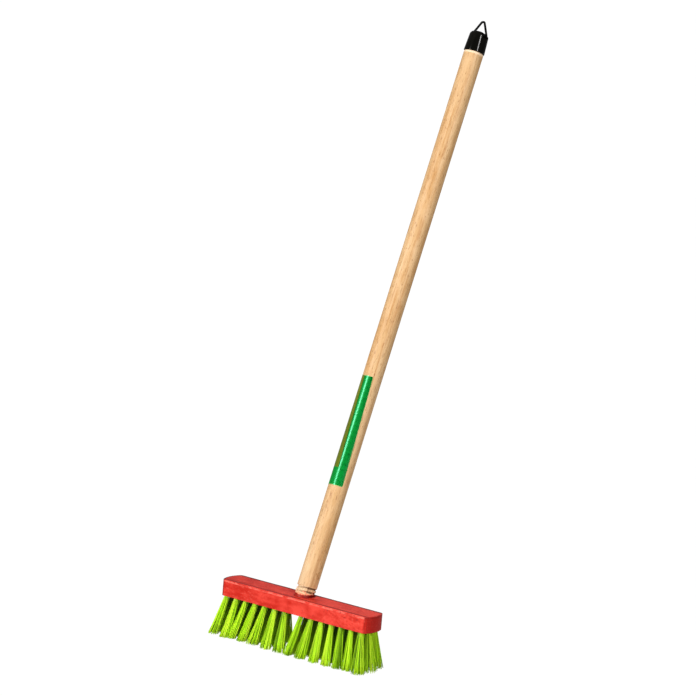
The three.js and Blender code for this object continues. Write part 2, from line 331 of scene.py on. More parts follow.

# red paint over wood: cloudy and dented, pale rubbed edges with painted highlights and glints, painted
# shade on the ends and far edges, a painted shadow right of the socket
redPaint = {
    "deep": (0.47, 0.014, 0.006, 1),
    "bright": (0.69, 0.05, 0.032, 1),
    "rubbedAndHighlight": (0.81, 0.165, 0.12, 1),
    "endShade": (0.4, 0.01, 0.005, 1),
    "line": (0.26, 0.006, 0.004, 1),
    "paintedShade": (0.075, 0.008, 0.006, 1),
    "pit": (0.3, 0.008, 0.006, 1),
    "rough": (0.36, 0.16), "bump": (0.45, 0.0005), "shine": 0.16,
    "lineAmount": 0.8, "socketShadowAmount": 0.6, "farRimAmount": 0.85,
}
# swells per metre and detail of the paint's patterns
paintNoise = {
    "grain": ((30, 240, 240), 5.0),
    "cloud": ((62, 95, 95), 4.0),
    "fine": ((900, 900, 900), 2.0),
    "patch": ((190, 260, 260), 4.0),
    "dent": ((330, 480, 480), 3.0),
    "pit": ((260, 330, 330), 2.0),
}
# shares of the patterns, and of the way to the right in metres, in the tone, the pits and the relief
paintShares = {
    "grainTone": 0.3, "cloudTone": 0.7, "rightTone": 0.7, "rightPits": 0.4, "patchRelief": 0.9,
    "fineRelief": 0.25, "dentRelief": 0.7,
}
# the two values between which a pattern changes, and the amounts at them where they aren't 0 and 1
paintFades = {
    "tone": (0.36, 0.6),
    "dentShade": (0.34, 0.47, 0.6, 0.0),
    "dentGlint": (0.58, 0.72, 0.0, 0.32),
    "fineGlint": (0.64, 0.74, 0.0, 0.4),
    "edgeRubAndHighlight": (0.5, 0.72, 0.0, 0.5),
    "frontHighlight": (0.36, 0.68),
    "pit": (0.68, 0.76, 0.0, 0.7),
}
# lengths in metres, most of them the start and end of a band along a face, some with its softness
paintBands = {
    "waver": 0.0016,
    "skin": 0.0012,  # less than this from a face counts as on it
    "dented": (0.01, 0.06),  # from the block's middle
    "endShade": (0.0004, 0.0024),
    "frontHighlight": (0.0009, 0.0023, 0.0006),
    "behindEdge": (0.0014, 0.005, 0.0008),
    "underEdge": (0.0011, 0.0024, 0.0006),
    "farRim": (0.001, 0.0022),
    "backShare": 0.45,  # how much of the distance counts at the back
}
# painted shadow on the block round the socket, on its right
socketShadow = {"right": (0.8, 0.5), "depth": 0.0016, "reach": 0.0139, "slope": 0.12,
               "side": (-0.002, 0.005)}


# distances from the block's faces, wavering a little
def blockDistances(tree, patchy):
    x, y, z = addNode(tree, "ShaderNodeSeparateXYZ", Vector=pattern(tree, (1, 1, 1))).outputs
    waver = times(minus(patchy, 0.5), paintBands["waver"])
    offMiddle = mathNode("DIVIDE", minus(y, headY), (blockHigh.y - blockLow.y) / 2)
    bowed = times(times(offMiddle, offMiddle), blockShape["bow"])
    return {
        "x": x,
        "waver": waver,
        "front": plus(minus(y, blockLow.y), waver),
        "back": plus(minus(blockHigh.y, y), waver),
        "top": plus(minus(blockHigh.z, z), waver),
        "end": minus(blockHigh.x, plus(mathNode("ABSOLUTE", x), bowed)),
    }


# pale paint: rubbed edges that are partly a painted highlight, a painted highlight along the upper front
# edge, and painted glints on specks and dents
def rubbedAndHighlightedPaint(tree, off, patchy, fine, dents):
    edges = times(attribute(tree, "edgeWearAndHighlight"), fade(patchy, *paintFades["edgeRubAndHighlight"]))
    upperFront = times(between(off["top"], *paintBands["frontHighlight"]),
                       under(off["front"], paintBands["skin"]))
    upperFront = times(upperFront, rise(patchy, *paintFades["frontHighlight"]))
    glints = larger(fade(fine, *paintFades["fineGlint"]), fade(dents, *paintFades["dentGlint"]))
    return larger(larger(edges, upperFront), glints)


# dark lines on top behind the front edge, and painted shade on the ends under their upper edge
def paintLines(off):
    behindEdge = times(between(off["front"], *paintBands["behindEdge"]),
                       under(off["top"], paintBands["skin"]))
    underEdge = times(between(off["top"], *paintBands["underEdge"]),
                      under(off["end"], paintBands["skin"]))
    return larger(behindEdge, underEdge)


def shadowAtSocket(tree, off):
    aroundStick = pattern(tree, (1, 1, 0), True)
    length = addNode(tree, "ShaderNodeVectorMath", {"operation": "LENGTH"}, Vector=aroundStick)
    x, y = addNode(tree, "ShaderNodeSeparateXYZ", Vector=aroundStick).outputs[:2]
    rightX, rightY = socketShadow["right"]
    toRight = plus(times(x, rightX), times(y, rightY))
    reach = minus(socketShadow["reach"], times(toRight, socketShadow["slope"]))
    near = under(plus(length.outputs["Value"], off["waver"]), reach)
    ring = times(under(off["top"], socketShadow["depth"]), near)
    return times(ring, rise(toRight, *socketShadow["side"]))


# painted shade on the rims at the back and on the left
def farRims(off):
    back = larger(times(off["back"], paintBands["backShare"]), smaller(off["top"], off["end"]))
    leftEnd = plus(off["end"], larger(off["x"], 0.0))
    left = larger(leftEnd, smaller(off["top"], off["front"]))
    return minus(1.0, rise(smaller(back, left), *paintBands["farRim"]))


def makeRedPaint():
    material, tree, shader = newMaterial("redPaint")
    shares = paintShares
    grain = noiseOn(tree, *paintNoise["grain"])
    cloud = noiseOn(tree, *paintNoise["cloud"])
    fine = noiseOn(tree, *paintNoise["fine"])
    patchy = noiseOn(tree, *paintNoise["patch"])
    off = blockDistances(tree, patchy)
    # small dents, most of them towards the ends
    aside = rise(mathNode("ABSOLUTE", off["x"]), *paintBands["dented"])
    dents = minus(noiseOn(tree, *paintNoise["dent"]), 0.5)
    dents = plus(times(dents, aside), 0.5)

    tone = plus(times(grain, shares["grainTone"]), times(cloud, shares["cloudTone"]))
    tone = plus(tone, times(off["x"], shares["rightTone"]))
    colour = mixColour(fade(tone, *paintFades["tone"]), redPaint["deep"], redPaint["bright"])
    colour = mixColour(fade(dents, *paintFades["dentShade"]), colour, redPaint["deep"])
    # painted shade on the ends
    onEnds = minus(1.0, rise(off["end"], *paintBands["endShade"]))
    colour = mixColour(onEnds, colour, redPaint["endShade"])
    # pale rubbed paint, with painted highlights and glints
    colour = mixColour(rubbedAndHighlightedPaint(tree, off, patchy, fine, dents), colour, redPaint["rubbedAndHighlight"])

    pits = plus(noiseOn(tree, *paintNoise["pit"]), times(off["x"], shares["rightPits"]))
    pits = fade(pits, *paintFades["pit"])
    colour = mixColour(pits, colour, redPaint["pit"])
    colour = mixColour(times(paintLines(off), redPaint["lineAmount"]), colour, redPaint["line"])
    # painted shadow round the socket, then painted shade on the far rims
    paintedShade = times(shadowAtSocket(tree, off), redPaint["socketShadowAmount"])
    colour = mixColour(paintedShade, colour, redPaint["paintedShade"])
    rims = times(farRims(off), redPaint["farRimAmount"])
    colour = mixColour(rims, colour, redPaint["paintedShade"])

    height = plus(times(patchy, shares["patchRelief"]), times(fine, shares["fineRelief"]))
    height = minus(plus(height, times(dents, shares["dentRelief"])), pits)
    finishSurface(shader, redPaint, colour, cloud, height)
    return material


# beech with a satin finish, and its grain: patterns laid one over the other along the stick
beech = {"pale": (0.645, 0.435, 0.23, 1), "rough": (0.36, 0.22), "bump": (0.22, 0.0003), "poreDepth": 0.5,
         "shine": 0.1}
# colour, swells per metre with detail, and where it shows
woodGrain = {
    "broad": ((0.525, 0.296, 0.121, 1), ((110, 110, 7), 4.0), (0.34, 0.66)),
    "lines": ((0.43, 0.2, 0.062, 1), ((430, 430, 17), 5.0, 0.65), (0.45, 0.7, 0.0, 0.85)),
    "pores": ((0.22, 0.09, 0.028, 1), ((1300, 1300, 105), 2.0), (0.58, 0.72, 0.0, 0.7)),
    "blotches": ((0.645, 0.42, 0.22, 1), ((170, 170, 55), 3.0), (0.46, 0.66, 0.0, 0.6)),
    "flecks": ((0.3, 0.13, 0.045, 1), ((520, 520, 170), 2.0), (0.62, 0.72, 0.0, 0.85)),
}
# colours of the marks that the handle's mesh carries, in the order in which they lie over each other; foot
# is a painted sheen on the lit side, shadow, groove and smearShade are painted shade
handleMarks = {
    "foot": (0.7, 0.5, 0.31, 1),
    "shadow": (0.3, 0.135, 0.045, 1),
    "groove": (0.1, 0.036, 0.01, 1),
    "rim": (0.88, 0.67, 0.46, 1),
    "stain": (0.78, 0.25, 0.14, 1),
    "smear": (0.27, 0.012, 0.006, 1),
    "smearShade": (0.15, 0.003, 0.002, 1),
}


def makeBeech():
    material, tree, shader = newMaterial("beech")
    colour = beech["pale"]
    grain = {}
    for name, (grainColour, swells, shows) in woodGrain.items():
        grain[name] = noiseOn(tree, *swells, alongStick=True)
        colour = mixColour(fade(grain[name], *shows), colour, grainColour)
    for name, markColour in handleMarks.items():
        colour = mixColour(attribute(tree, name), colour, markColour)
    height = minus(grain["lines"], times(grain["pores"], beech["poreDepth"]))
    finishSurface(shader, beech, colour, grain["lines"], height)
    return material


# lime filaments, each a slightly different green, with a painted shade towards the root
limeFilament = {
    "tones": ((0.08, (0.09, 0.23, 0.001, 1)), (0.45, (0.46, 0.84, 0.01, 1)), (0.9, (0.7, 0.96, 0.04, 1))),
    "rootShade": (0.028, 0.1, 0.003, 1),
    "rootDepths": ((0.0, 0.0), (0.45, 0.62), (0.95, 0.95)),
    "streaks": ((900, 900, 45), 2.0),
    "streakShare": 0.25,
    "rough": (0.28, 0.2), "bump": (0.1, 0.0001), "shine": 0.16,
}


def makeLimeFilament():
    material, tree, shader = newMaterial("limeFilament")
    streaks = noiseOn(tree, *limeFilament["streaks"])
    share = limeFilament["streakShare"]
    tone = plus(times(attribute(tree, "tone"), 1 - share), times(streaks, share))
    depths = [(depth, (dark, dark, dark, 1)) for depth, dark in limeFilament["rootDepths"]]
    shadow = ramp(attribute(tree, "rootDepth"), depths)
    colour = mixColour(shadow, ramp(tone, limeFilament["tones"]), limeFilament["rootShade"])
    finishSurface(shader, limeFilament, colour, streaks, streaks)
    return material


# printed film: green field with a painted shade towards one side, olive panel down one side, thin pale
# edge; places are shares of its size
labelFilm = {
    "field": (0.001, 0.2, 0.02, 1),
    "fieldLight": (0.002, 0.255, 0.034, 1),
    "fieldShade": (0.001, 0.12, 0.012, 1),
    "olive": (0.115, 0.14, 0.007, 1),
    "oliveLight": (0.175, 0.19, 0.016, 1),
    "line": (0.012, 0.06, 0.002, 1),
    "edge": (0.42, 0.5, 0.2, 1),
    "panelSide": 0.57, "panelSideSoft": 0.012, "panelFoot": 0.16, "panelFootSoft": 0.003,
    "lineReach": 0.022, "edgeFrom": (0.49, 0.498), "shadedSide": (0.78, 1.0), "shadedSideAmount": 0.7,
    "mottle": ((60, 60, 8), 3.0), "mottleShows": (0.35, 0.7),
    "rough": (0.24, 0.06), "bump": (0.02, 0.0003), "shine": 0.2, "shineTint": (0.22, 1, 0.6, 1),
}


def makeLabelFilm():
    s = labelFilm
    material, tree, shader = newMaterial("labelFilm")
    uv = addNode(tree, "ShaderNodeUVMap", {"uv_map": "label"}).outputs[0]
    across, along = addNode(tree, "ShaderNodeSeparateXYZ", Vector=uv).outputs[:2]
    mottle = noiseOn(tree, *s["mottle"], alongStick=True)
    inkTone = fade(mottle, *s["mottleShows"])
    colour = mixColour(inkTone, s["field"], s["fieldLight"])
    # painted shade towards the right edge
    shadedSide = times(rise(across, *s["shadedSide"]), s["shadedSideAmount"])
    colour = mixColour(shadedSide, colour, s["fieldShade"])

    panelLeft = s["panelSide"] - s["panelSideSoft"]
    beside = fade(across, panelLeft, s["panelSide"] + s["panelSideSoft"], 1.0, 0.0)
    above = fade(along, s["panelFoot"] - s["panelFootSoft"], s["panelFoot"] + s["panelFootSoft"])
    olive = mixColour(inkTone, s["olive"], s["oliveLight"])
    colour = mixColour(times(beside, above), colour, olive)
    line = between(across, panelLeft, s["panelSide"] + s["lineReach"], s["panelSideSoft"])
    colour = mixColour(times(line, above), colour, s["line"])

    edges = []
    for place, start in zip((across, along), s["edgeFrom"]):
        offMiddle = mathNode("ABSOLUTE", minus(place, 0.5))
        edges.append(mathNode("GREATER_THAN", offMiddle, start))
    colour = mixColour(larger(*edges), colour, s["edge"])
    finishSurface(shader, labelFilm, colour, mottle, mottle)
    feed(shader.inputs["Specular Tint"], s["shineTint"])
    return material


# moulded black plastic, and black coating on wire: a cloudy dark tone
blackPlastic = {
    "colour": (0.002, 0.002, 0.0014, 1),
    "worn": (0.005, 0.0045, 0.0035, 1),
    "cloud": ((240, 240, 90), 4.0),
    "cloudShows": (0.4, 0.75),
    "fine": ((2600, 2600, 2600), 2.0),
    "rough": (0.09, 0.04), "bump": (0.02, 0.00005), "shine": 0.07,
}
blackCoating = {
    "colour": (0.0012, 0.0012, 0.001, 1),
    "worn": (0.003, 0.0028, 0.0025, 1),
    "cloud": ((500, 500, 500), 3.0),
    "cloudShows": (0.45, 0.8),
    "rough": (0.28, 0.2), "bump": (0.04, 0.0001), "shine": 0.02,
}


def makeBlack(name, look, alongStick):
    material, tree, shader = newMaterial(name)
    cloud = noiseOn(tree, *look["cloud"], alongStick=alongStick)
    relief = noiseOn(tree, *look["fine"]) if "fine" in look else cloud
    colour = mixColour(fade(cloud, *look["cloudShows"]), look["colour"], look["worn"])
    finishSurface(shader, look, colour, cloud, relief)
    return material


# bare staple wire, inside the block
stapleWire = {"light": (0.55, 0.56, 0.57, 1), "dark": (0.3, 0.3, 0.31, 1), "drawn": ((900, 4000, 900), 3.0),
              "rough": (0.25, 0.25)}


def makeStapleWire():
    material, tree, shader = newMaterial("stapleWire")
    drawn = noiseOn(tree, *stapleWire["drawn"])
    low, spread = stapleWire["rough"]
    feed(shader.inputs["Base Color"], mixColour(drawn, stapleWire["dark"], stapleWire["light"]))
    feed(shader.inputs["Roughness"], plus(times(drawn, spread), low))
    feed(shader.inputs["Metallic"], 1.0)
    return material


paintMaterial = makeRedPaint()
woodMaterial = makeBeech()
limeMaterial = makeLimeFilament()
labelMaterial = makeLabelFilm()
plasticMaterial = makeBlack("blackPlastic", blackPlastic, True)
coatingMaterial = makeBlack("blackCoating", blackCoating, False)
stapleMaterial = makeStapleWire()
print("materials made")


# tuft places, as drilled in the block, seen from its middle
tufts = {
    "perSide": 7, "endMargin": 0.0097, "centreGap": 0.0234, "rowPitch": 0.011, "besideSocket": 0.01445,
    "holeRadius": 0.00275, "holeDepth": 0.006, "holePast": 0.002, "holeSides": 18,
}
outermost = (blockHigh.x - blockLow.x) / 2 - tufts["endMargin"]
tuftPitch = (outermost - tufts["centreGap"] / 2) / (tufts["perSide"] - 1)


def tuftColumns(first, innermost):
    half = [max(tufts["centreGap"] / 2 + i * tuftPitch, innermost) for i in range(first, tufts["perSide"])]
    return [-x for x in reversed(half)] + half


tuftRows = {
    "front": (tuftColumns(0, 0), -tufts["rowPitch"]),
    "middle": (tuftColumns(0, tufts["besideSocket"]), 0.0),
    "rear": (tuftColumns(1, 0), tufts["rowPitch"]),
}
# how far the rows, and two tufts right of the wide gap, stand from an even drilling
tuftShifts = {
    "front": (-0.0009, -0.0007),
    "middle": (-0.0007, -0.0007),
    "rear": (-0.0004, -0.0004),
    ("middle", 7): (-0.0026, -0.0016),
    ("middle", 8): (-0.0019, -0.0014),
}


def tuftPlaces(rowName):
    columns, rowY = tuftRows[rowName]
    places = []
    for index, x in enumerate(columns):
        shiftX, shiftY = tuftShifts.get((rowName, index), tuftShifts[rowName])
        places.append(Vector((x + shiftX, headY + rowY + shiftY, underside)))
    return places


# block: bowed ends, rounded edges, slightly uneven faces, a slanted socket and the tuft holes
blockSize = blockHigh - blockLow
blockCentre = Vector((0, headY, (blockLow.z + blockHigh.z) / 2))


# how far the bow draws an end in, at a distance from the block's middle plane
def endPull(y):
    return blockShape["bow"] * (2 * y / blockSize.y) ** 2


def blockBody():
    s = blockShape
    bm = bmesh.new()
    bmesh.ops.create_cube(bm, size=1.0, matrix=Matrix.Diagonal((*blockSize, 1.0)))
    for axis, cuts in s["cuts"]:
        along = [e for e in bm.edges if abs(edgeVector(e).normalized()[axis]) > s["along"]]
        bmesh.ops.subdivide_edges(bm, edges=along, cuts=cuts, use_grid_fill=True)
    for v in bm.verts:
        v.co.x *= 1 - endPull(v.co.y) / (blockSize.x / 2)
    bent = [e for e in bm.edges if e.calc_face_angle(0) > s["cornerAngle"]]
    roundOff(bm, [e for e in bent if abs(edgeVector(e).z) > limits["level"]], s["corner"], s["cornerSteps"])
    bent = [e for e in bm.edges if e.calc_face_angle(0) > s["rimAngle"]]
    rims = [e for e in bent if abs(edgeVector(e).z) < limits["level"]]
    roundOff(bm, rims, s["edge"], s["edgeSteps"], clampOverlap=True)
    bm.normal_update()
    finePerMetre, fineShare = s["fineSwells"]
    for v in bm.verts:
        swell = noise.fractal(v.co * s["swells"], *s["swellFractal"])
        swell += fineShare * noise.noise(v.co * finePerMetre)
        v.co -= v.normal * s["uneven"] * (0.5 + 0.5 * clamp(swell, -1.0, 1.0))
    bmesh.ops.translate(bm, verts=bm.verts[:], vec=blockCentre)
    return meshFrom(bm, "broomBlock", s["sharpAngle"])


def blockDrills():
    bm = bmesh.new()
    holeMiddle = Vector((0, 0, (tufts["holeDepth"] - tufts["holePast"]) / 2))
    for rowName in tuftRows:
        for place in tuftPlaces(rowName):
            addRod(bm, tufts["holeRadius"], tufts["holeDepth"] + tufts["holePast"], tufts["holeSides"],
                   Matrix.Translation(place + holeMiddle))
    s = blockShape
    length = s["socketDepth"] + s["socketPast"]
    socketMiddle = stickFrame @ Matrix.Translation((0, 0, length / 2 - s["socketDepth"]))
    addRod(bm, s["socketRadius"], length, s["socketSides"], socketMiddle)
    return meshFrom(bm, "drills")


def makeBlock():
    mesh = cutAway(blockBody(), blockDrills())
    half = blockSize / 2
    # a band along every edge, for rubbed paint that is partly a painted highlight
    wearAndHighlight = mesh.attributes.new("edgeWearAndHighlight", "FLOAT", "POINT")
    for v, item in zip(mesh.vertices, wearAndHighlight.data):
        p = v.co - blockCentre
        depths = (half.x - endPull(p.y) - abs(p.x), half.y - abs(p.y), half.z - abs(p.z))
        fromEdge = max(sorted(depths)[1], 0.0)
        item.value = max(0.0, 1.0 - fromEdge / blockShape["edgeBandWidth"])
    shadeSmooth(mesh, blockShape["sharpAngle"])
    return placePiece("broomBlock", mesh, paintMaterial, "broom", ["broom_block"])


makeBlock()
print("block made")


# bristles: every tuft is a bundle of fine filaments, spread and cut as in the photograph
filaments = {
    "perTuft": 96, "locks": 15, "loose": 0.78, "radius": 0.0003, "sides": 4, "rings": 5,
    "buried": 0.004, "offFloor": 0.0001, "uneven": 0.0005,
    "wallMargin": 1.2,  # in radii, from the box of the solids
    "seed": 11, "bend": 0.15, "sway": 0.0004, "stray": 0.05, "tone": 0.52, "tuftTone": 0.08,
    "lockTone": 0.28, "ownTone": 0.17,
    "rootSpread": {"front": (0.0019, 0.0019), "middle": (0.003, 0.0024), "rear": (0.0026, 0.0026)},
    "tipSpread": (0.0066, 0.006), "endSpread": 1.35,
    "lean": {"middle": (-0.004, 0.0075, -0.003), "rear": (-0.004, 0.003, 0.012)},
    "leanSpread": 0.0012,
    # painted shade of each row: darker by, how soon the painted shade at the root ends, its strength
    "shade": {"front": (0.0, 4.0, 0.4), "middle": (0.12, 1.55, 0.98), "rear": (0.06, 2.6, 0.6)},
    "sharpAngle": 100,
}
# lean sideways and backwards in mm, and width of the tip, of each tuft of the front row
frontTufts = [
    (-10.8, -5.8, 1.0), (-6.5, -8.3, 0.95), (-11.6, -5.8, 0.85), (-11.2, -6, 0.95), (-8.5, -6, 1.05),
    (-2.2, -8.3, 1.0), (1.9, -7.8, 1.15), (-8.3, -9.3, 0.72), (-5, -8.8, 1.05), (0.2, -8.8, 0.98),
    (3.4, -8.3, 0.9), (4.3, -7.8, 0.9), (3.6, -5.3, 0.9), (5, -5.8, 1.1),
]
# the same for tufts of the other rows that stand out: two right of the wide gap, and those at the right end
oddTufts = {
    ("middle", 7): (-8.5, -9.2, 0.9),
    ("middle", 8): (-3, -3, 1.05),
    ("middle", 13): (4.8, 1.2, 1.35),
    ("rear", 11): (0.6, 9, 1.25),
}
goldenAngle = 2.39996
millimetre = 0.001


def tuftLean(rowName, index, x, chance):
    if rowName == "front" or (rowName, index) in oddTufts:
        leanX, leanY, width = frontTufts[index] if rowName == "front" else oddTufts[rowName, index]
        return Vector((leanX, leanY, 0)) * millimetre, width
    sideways, outwards, back = filaments["lean"][rowName]
    spread = filaments["leanSpread"]
    leanX = sideways + outwards * x / outermost + chance.uniform(-spread, spread)
    leanY = back + chance.uniform(-spread, spread)
    return Vector((leanX, leanY, 0)), 1.0


# places spread evenly over a disc of radius one
def discPlaces(count):
    places = []
    for k in range(count):
        reach = math.sqrt((k + 0.5) / count)
        places.append(Vector((math.cos(k * goldenAngle), math.sin(k * goldenAngle), 0)) * reach)
    return places


# a random step on the level
def levelStep(chance, size):
    return Vector((chance.gauss(0, size), chance.gauss(0, size), 0))


# keeps a tip on the floor and inside the box of the solids
def settleTip(tip, chance):
    margin = filaments["radius"] * filaments["wallMargin"]
    for axis in (0, 1):
        tip[axis] = clamp(tip[axis], cadBounds[0][axis] + margin, cadBounds[1][axis] - margin)
    tip.z = abs(chance.gauss(0, filaments["uneven"])) + filaments["offFloor"]
    return tip


# an upright filament of length one, closed at both ends, that the others are copied from
def filamentModel(bm):
    bmesh.ops.create_circle(bm, cap_ends=True, radius=filaments["radius"], segments=filaments["sides"])
    for ring in range(filaments["rings"]):
        end = max(bm.faces, key=lambda f: f.calc_center_median().z)
        grown = bmesh.ops.extrude_face_region(bm, geom=[end])["geom"]
        bmesh.ops.translate(bm, verts=vertsOf(grown), vec=(0, 0, 1 / filaments["rings"]))
        bmesh.ops.delete(bm, geom=[end], context="FACES_ONLY")
    bmesh.ops.holes_fill(bm, edges=[e for e in bm.edges if e.is_boundary], sides=filaments["sides"])
    bmesh.ops.recalc_face_normals(bm, faces=bm.faces[:])
    return bm.verts[:] + bm.edges[:] + bm.faces[:]


def makeBristles(rowName, replaced):
    s = filaments
    places = tuftPlaces(rowName)
    chance = random.Random(f"{s['seed']}{rowName}")
    bm = bmesh.new()
    toneLayer = bm.verts.layers.float.new("tone")
    depthLayer = bm.verts.layers.float.new("rootDepth")
    model = filamentModel(bm)
    rootX, rootY = s["rootSpread"][rowName]
    lockPlaces = discPlaces(s["locks"])
    for index, bottom in enumerate(places):
        root = bottom + Vector((0, 0, s["buried"]))
        lean, width = tuftLean(rowName, index, bottom.x, chance)
        wideX, wideY = (spread * width for spread in s["tipSpread"])
        shaded, loose = rowName, s["loose"]
        # the tufts at the right end stand in the light, and spread along the end
        if index == len(places) - 1:
            shaded, loose = "front", 1.0
            wideY *= s["endSpread"]
        darker, shadeEnd, strength = s["shade"][shaded]
        tuftTone = s["tone"] + chance.uniform(-s["tuftTone"], s["tuftTone"]) - darker
        lockTones = [chance.gauss(0, s["lockTone"]) for lock in lockPlaces]
        lockShifts = [levelStep(chance, s["stray"]) for lock in lockPlaces]
        for place in discPlaces(s["perTuft"]):
            lock = min(range(len(lockPlaces)), key=lambda n: (lockPlaces[n] - place).length)
            gathered = lockPlaces[lock].lerp(place, loose) + lockShifts[lock]
            gathered += levelStep(chance, s["stray"])
            start = root + Vector((place.x * rootX, place.y * rootY, 0))
            tip = settleTip(root + lean + Vector((gathered.x * wideX, gathered.y * wideY, 0)), chance)
            tone = clamp(tuftTone + lockTones[lock] + chance.gauss(0, s["ownTone"]))
            sway = levelStep(chance, s["sway"])
            for v in vertsOf(bmesh.ops.duplicate(bm, geom=model)["geom"]):
                t = v.co.z
                bent = (1 - s["bend"]) * t + s["bend"] * t * t
                along = start.lerp(tip, bent)
                along.z = start.z + (tip.z - start.z) * t
                v.co = along + Vector((v.co.x, v.co.y, 0)) + sway * math.sin(math.pi * t)
                v[toneLayer] = tone
                # painted shade towards the root
                v[depthLayer] = max(0.0, 1.0 - t * shadeEnd) * strength
    bmesh.ops.delete(bm, geom=vertsOf(model), context="VERTS")
    mesh = bpy.data.meshes.new(f"bristles{rowName.title()}")
    bm.to_mesh(mesh)
    bm.free()
    shadeSmooth(mesh, s["sharpAngle"])
    return placePiece(mesh.name, mesh, limeMaterial, "broom", replaced)


makeBristles("front", ["bristles_front"])
makeBristles("middle", ["bristles_middle"])
makeBristles("rear", ["bristles_rear_left", "bristles_rear_right"])
print("bristles made")


# handle: a long turned stick with a screw thread cut into its foot
handleShape = {
    "radius": 0.011, "foot": -0.0122, "threadTop": 0.0096, "threadRadius": 0.0108, "threadRows": 62,
    "core": 0.01,  # nearer to the axis than this there is no thread
    "flare": 0.0004, "pitch": 0.0042, "groove": 0.0011, "stickRows": 24, "plainTop": 0.01,
    "shoulder": 0.6221, "chamfer": 0.0006, "rimRows": (0.0036, 0.0028, 0.002, 0.0012),
    "spigotRadius": 0.009, "top": 0.6378, "sides": 96, "sharpAngle": 35,
}
# marks near the foot and at the shoulder: angles round the stick, the rest in metres or as amounts
handleWear = {
    "shadySide": math.radians(20), "seenSide": math.radians(-55), "rimWidth": 0.0012, "rimAmount": 0.8,
    "sheenAmount": 0.4, "sheenTop": 0.13, "sheenSide": 0.5, "shadowAmount": 0.75, "shadowTop": 0.1,
    "shadowSide": (0.36, 0.13),  # middle and width
    "painted": 0.0027, "paintedLeft": 0.45, "paintSoft": 0.0006, "shadeRight": 0.9, "torn": 0.0024,
    "tornRight": 0.8, "tornSoft": 0.001, "tornMost": 0.9, "strandLeast": 0.35,
    "cutLit": 0.4,  # depth of the thread on the lit side
    "deepest": 1.2, "crack": math.radians(-43), "crackWidth": 0.075, "crackDepth": 0.6,
    "crackPlace": 5,  # another place in the noise
    "splitFrom": 0.3, "waist": 0.0014, "waistSoft": 0.0015,
    "grooveShade": (1.35, 0.8, 0.9),  # on the shady side, everywhere, in cracks
    "threadRim": 0.2,
}
# swells per metre along each axis, middle and swing of what is uneven there
footNoise = {
    "painted": ((620, 620, 620), 0.0, 0.0012),
    "torn": ((520, 520, 520), 1.0, 1.8),
    "smearShade": ((300, 300, 300), 0.35, 0.8),
    "strands": ((900, 900, 260), 0.95, 1.1),
    "ragged": ((380, 380, 380), 0.75, 0.6),
    "phase": ((260, 260, 260), 0.0, 0.09),
    "crackLine": ((0, 0, 300), 0.0, 0.25),
    "crackDepth": ((1, 1, 420), 0.6, 0.8),
    "splits": ((700, 700, 130), 0.0, 1.0),
}


def unevenAt(name, x, y, z):
    (scaleX, scaleY, scaleZ), middle, swing = footNoise[name]
    return middle + swing * noise.noise(Vector((x * scaleX, y * scaleY, z * scaleZ)))


def handleProfile():
    s = handleShape
    plainFoot = s["threadTop"] + s["flare"]
    chamferFoot = s["shoulder"] - s["chamfer"]
    profile = [(0, s["foot"]), (s["threadRadius"], s["foot"])]
    for i in range(1, s["threadRows"] + 1):
        profile.append((s["threadRadius"], s["foot"] + (s["threadTop"] - s["foot"]) * i / s["threadRows"]))
    profile.append((s["radius"], plainFoot))
    for i in range(1, s["stickRows"]):
        profile.append((s["radius"], plainFoot + (s["shoulder"] - s["plainTop"]) * i / s["stickRows"]))
    profile += [(s["radius"], chamferFoot - below) for below in s["rimRows"]]
    profile += [(s["radius"], chamferFoot), (s["radius"] - s["chamfer"], s["shoulder"])]
    profile += [(s["spigotRadius"], s["shoulder"]), (s["spigotRadius"], s["top"]), (0, s["top"])]
    return profile


# pale rim at the shoulder, a painted sheen on the left side and a painted shadow band on the right near the
# foot, red paint on the foot with painted shade to its right, and torn fibres tinted by it above;
# gives back how far the place is above the torn fibres
def markHandle(v, layers, toRight):
    w = handleWear
    x, y, z = v.co
    aboveBlock = z - y * math.tan(stick["tilt"])
    fromRim = handleShape["shoulder"] - handleShape["chamfer"] - z - w["rimWidth"]
    v[layers["rim"]] = clamp(1 - fromRim / w["rimWidth"]) * w["rimAmount"]
    # painted sheen on the lit left side near the foot
    v[layers["foot"]] = w["sheenAmount"] * max(0.0, 1 - z / w["sheenTop"]) * max(0.0, w["sheenSide"] - toRight)
    shadowMiddle, shadowWidth = w["shadowSide"]
    shadow = math.exp(-((toRight - shadowMiddle) / shadowWidth) ** 2)
    v[layers["shadow"]] = w["shadowAmount"] * shadow * max(0.0, 1 - z / w["shadowTop"])
    painted = w["painted"] * (1 + w["paintedLeft"] * max(0.0, -toRight)) + unevenAt("painted", x, y, z)
    torn = w["torn"] * (1 - w["tornRight"] * max(0.0, toRight)) * unevenAt("torn", x, y, z)
    paint = clamp(0.5 - (aboveBlock - painted) / w["paintSoft"])
    v[layers["smear"]] = paint
    v[layers["smearShade"]] = paint * clamp(w["shadeRight"] * toRight + unevenAt("smearShade", x, y, z))
    aboveTorn = aboveBlock - painted - torn
    strands = clamp(unevenAt("strands", x, y, aboveBlock), w["strandLeast"])
    v[layers["stain"]] = clamp(0.5 - aboveTorn / w["tornSoft"], 0.0, w["tornMost"]) * strands
    return aboveTorn
